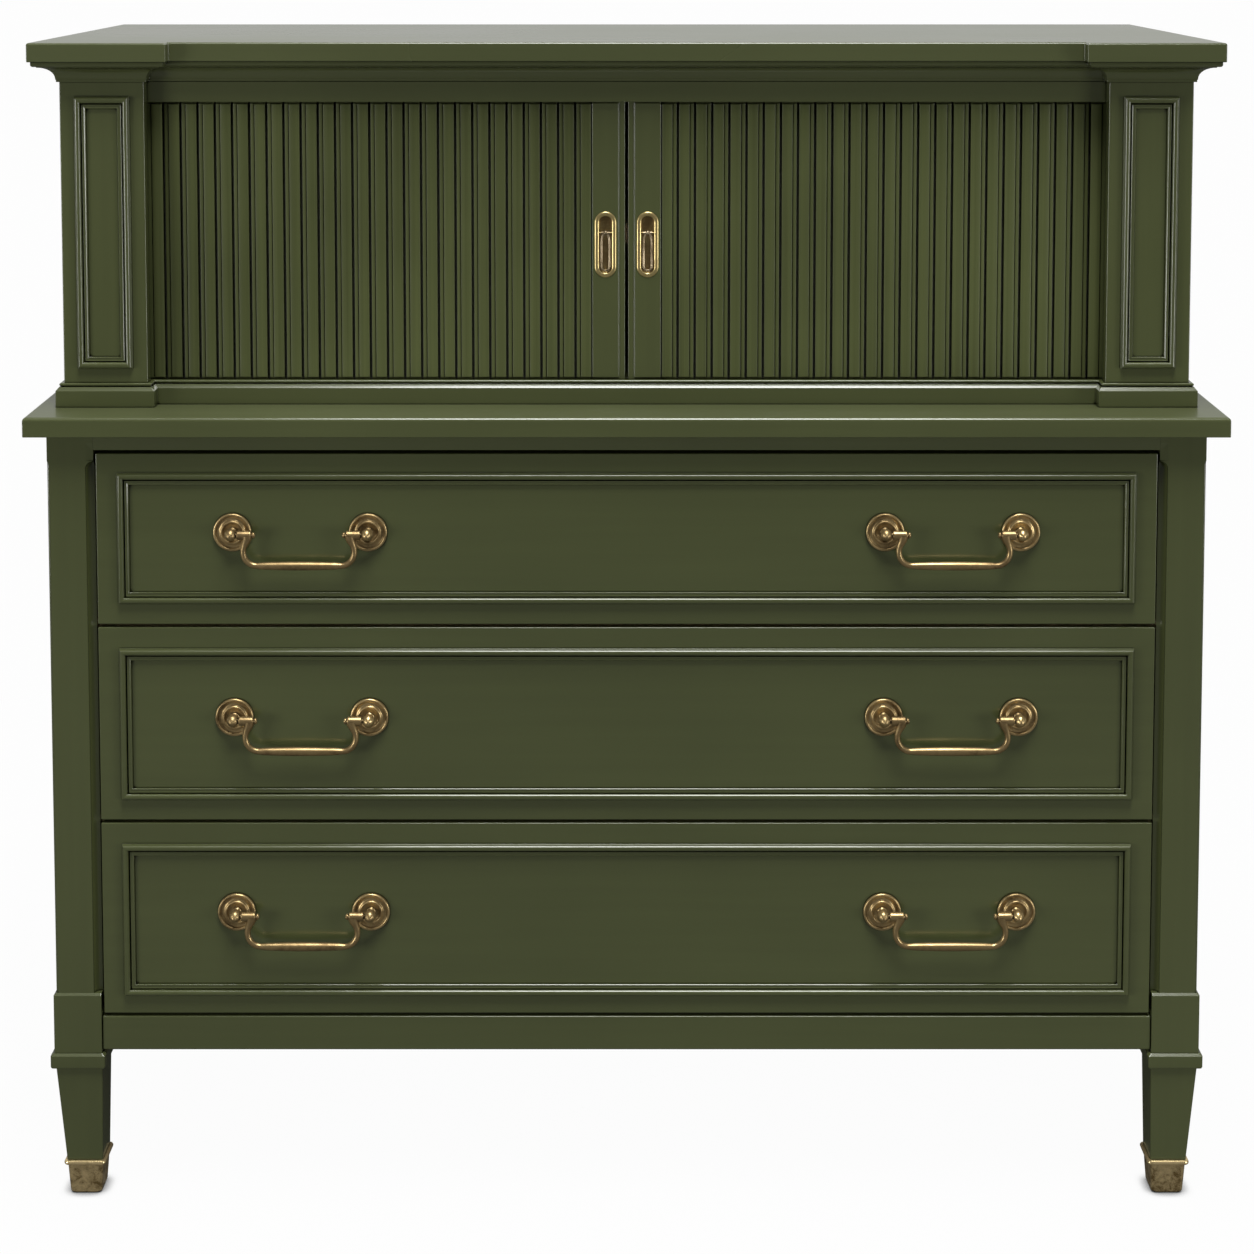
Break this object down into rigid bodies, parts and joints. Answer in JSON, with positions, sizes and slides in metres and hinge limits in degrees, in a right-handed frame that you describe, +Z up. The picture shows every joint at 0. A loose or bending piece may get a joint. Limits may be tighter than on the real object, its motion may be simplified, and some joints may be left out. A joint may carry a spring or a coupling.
{
  "type": "tallboy",
  "caption": "Green lacquered tallboy: long drawers with bail pulls on tapered brass-capped legs, and a cabinet with sliding tambour doors above.",
  "frame": {"origin": "on the floor, under the middle of the whole outline", "axes": "+X to the right seen from the front, +Y to the back, +Z up; the drawers open towards -Y"},
  "size_m": [1.12, 0.5066, 1.1011],
  "materials": {
    "green_lacquer": "satin olive green lacquer over fine straight grain",
    "antique_brass": "aged brass, softly mottled",
    "drawer_wood": "sanded and sealed, unstained",
    "back_board": "thin board, sealed",
    "canvas": "tight plain canvas"
  },
  "bodies": {
    "carcass": {"bottom_board": "green_lacquer", "bottom_rail": "green_lacquer", "brass_sabots": "antique_brass", "cornice_moulding": "green_lacquer", "cornice_rail": "green_lacquer", "deck": "green_lacquer", "drawer_dividers": "drawer_wood", "drawer_runners": "drawer_wood", "frieze_rail": "green_lacquer", "front_left_post": "green_lacquer", "front_right_post": "green_lacquer", "left_pilaster": "green_lacquer", "left_side_panel": "green_lacquer", "left_tambour_canvas": "canvas", "left_tambour_slats": "green_lacquer", "lower_back_panel": "back_board", "pilaster_frames": "green_lacquer", "plinth_moulding": "green_lacquer", "pocket_liners": "drawer_wood", "rear_left_post": "green_lacquer", "rear_right_post": "green_lacquer", "right_pilaster": "green_lacquer", "right_side_panel": "green_lacquer", "right_tambour_canvas": "canvas", "right_tambour_slats": "green_lacquer", "shelf": "drawer_wood", "shelf_cleats": "drawer_wood", "top_board": "green_lacquer", "top_slab": "green_lacquer", "upper_back_panel": "back_board", "upper_left_side": "green_lacquer", "upper_right_side": "green_lacquer"},
    "drawer_1": {"drawer_1_front": "green_lacquer", "drawer_1_frame": "green_lacquer", "drawer_1_box": "drawer_wood", "drawer_1_bottom_panel": "drawer_wood", "drawer_1_pull_plates": "antique_brass"},
    "bail_1_left": {"drawer_1_left_bail": "antique_brass"},
    "bail_1_right": {"drawer_1_right_bail": "antique_brass"},
    "drawer_2": {"drawer_2_front": "green_lacquer", "drawer_2_frame": "green_lacquer", "drawer_2_box": "drawer_wood", "drawer_2_bottom_panel": "drawer_wood", "drawer_2_pull_plates": "antique_brass"},
    "bail_2_left": {"drawer_2_left_bail": "antique_brass"},
    "bail_2_right": {"drawer_2_right_bail": "antique_brass"},
    "drawer_3": {"drawer_3_front": "green_lacquer", "drawer_3_frame": "green_lacquer", "drawer_3_box": "drawer_wood", "drawer_3_bottom_panel": "drawer_wood", "drawer_3_pull_plates": "antique_brass"},
    "bail_3_left": {"drawer_3_left_bail": "antique_brass"},
    "bail_3_right": {"drawer_3_right_bail": "antique_brass"},
    "left_door": {"left_lead_stile": "green_lacquer", "left_flush_cup": "antique_brass"},
    "left_ring": {"left_drop_ring": "antique_brass"},
    "right_door": {"right_lead_stile": "green_lacquer", "right_flush_cup": "antique_brass"},
    "right_ring": {"right_drop_ring": "antique_brass"}
  },
  "joints": [
    {"name": "drawer_1_slide", "type": "slide", "parent": "carcass", "child": "drawer_1", "axis": [0, -1, 0], "range_m": [0, 0.34]},
    {"name": "drawer_2_slide", "type": "slide", "parent": "carcass", "child": "drawer_2", "axis": [0, -1, 0], "range_m": [0, 0.34]},
    {"name": "drawer_3_slide", "type": "slide", "parent": "carcass", "child": "drawer_3", "axis": [0, -1, 0], "range_m": [0, 0.34]},
    {"name": "door_left_slide", "type": "slide", "parent": "carcass", "child": "left_door", "axis": [-1, 0, 0], "range_m": [0, 0.42], "deforming": ["left_tambour_slats", "left_tambour_canvas"]},
    {"name": "door_right_slide", "type": "slide", "parent": "carcass", "child": "right_door", "axis": [1, 0, 0], "range_m": [0, 0.42], "deforming": ["right_tambour_slats", "right_tambour_canvas"]},
    {"name": "pull_1_left_swing", "type": "hinge", "parent": "drawer_1", "child": "bail_1_left", "pos_m": [-0.3055, -0.24575, 0.64385], "axis": [-1, 0, 0], "range_deg": [-15, 100]},
    {"name": "pull_1_right_swing", "type": "hinge", "parent": "drawer_1", "child": "bail_1_right", "pos_m": [0.3055, -0.24575, 0.64385], "axis": [-1, 0, 0], "range_deg": [-15, 100]},
    {"name": "pull_2_left_swing", "type": "hinge", "parent": "drawer_2", "child": "bail_2_left", "pos_m": [-0.3055, -0.24575, 0.4671], "axis": [-1, 0, 0], "range_deg": [-15, 100]},
    {"name": "pull_2_right_swing", "type": "hinge", "parent": "drawer_2", "child": "bail_2_right", "pos_m": [0.3055, -0.24575, 0.4671], "axis": [-1, 0, 0], "range_deg": [-15, 100]},
    {"name": "pull_3_left_swing", "type": "hinge", "parent": "drawer_3", "child": "bail_3_left", "pos_m": [-0.3055, -0.24575, 0.2789], "axis": [-1, 0, 0], "range_deg": [-15, 100]},
    {"name": "pull_3_right_swing", "type": "hinge", "parent": "drawer_3", "child": "bail_3_right", "pos_m": [0.3055, -0.24575, 0.2789], "axis": [-1, 0, 0], "range_deg": [-15, 100]},
    {"name": "ring_left_swing", "type": "hinge", "parent": "left_door", "child": "left_ring", "pos_m": [-0.0201, -0.16765, 0.9181], "axis": [-1, 0, 0], "range_deg": [0, 90]},
    {"name": "ring_right_swing", "type": "hinge", "parent": "right_door", "child": "right_ring", "pos_m": [0.0201, -0.16765, 0.9181], "axis": [-1, 0, 0], "range_deg": [0, 90]}
  ]
}
